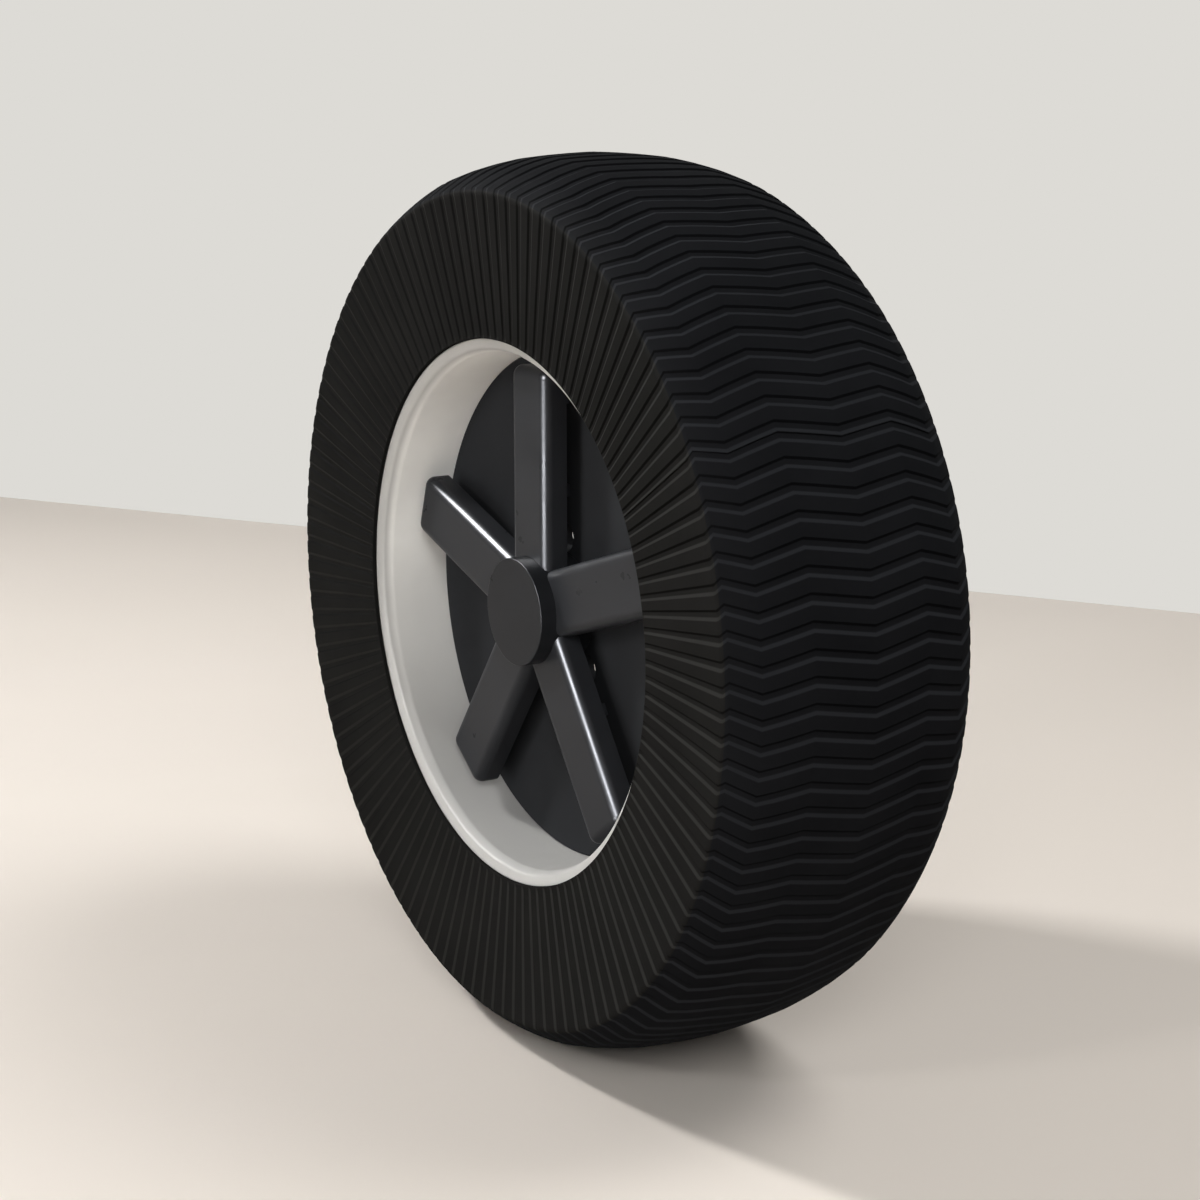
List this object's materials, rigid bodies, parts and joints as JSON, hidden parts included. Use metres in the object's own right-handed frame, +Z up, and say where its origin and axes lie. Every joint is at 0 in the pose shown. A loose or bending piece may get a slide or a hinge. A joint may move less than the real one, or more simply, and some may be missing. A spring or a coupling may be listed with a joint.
{
  "type": "winter tyre on its wheel",
  "caption": "Upright car tyre with fine zigzag grooves across tread and sidewalls, on a dished wheel with block spokes and a round hub cap.",
  "frame": {"origin": "centre of the wheel, on the axle line at the tyre's mid-plane", "axes": "Y along the axle with the spoked outboard face towards -Y, +Z up, standing on its tread"},
  "size_m": [0.6344, 0.1918, 0.633],
  "materials": {
    "tyre_rubber": "matte",
    "barrel_metal": "satin",
    "disc_metal": "satin",
    "cover_plastic": "satin metal look",
    "spring_steel": "satin",
    "valve_rubber": "matte",
    "brass": "satin",
    "valve_plastic": "matte",
    "weight_metal": "satin",
    "tape_foam": "matte"
  },
  "bodies": {
    "root": {"tyre": "tyre_rubber", "rim_barrel": "barrel_metal", "wheel_disc": "disc_metal", "disc_welds": "barrel_metal", "spoke_1": "cover_plastic", "spoke_2": "cover_plastic", "spoke_3": "cover_plastic", "spoke_4": "cover_plastic", "spoke_5": "cover_plastic", "spoke_clips": "spring_steel", "hub_cap": "cover_plastic", "hub_cap_ring": "spring_steel", "valve_body": "valve_rubber", "valve_stem": "brass", "valve_core": "brass", "valve_pin": "brass", "valve_cap": "valve_plastic", "valve_cap_seal": "valve_rubber", "weight_tape": "tape_foam", "balance_weights": "weight_metal"}
  },
  "joints": []
}
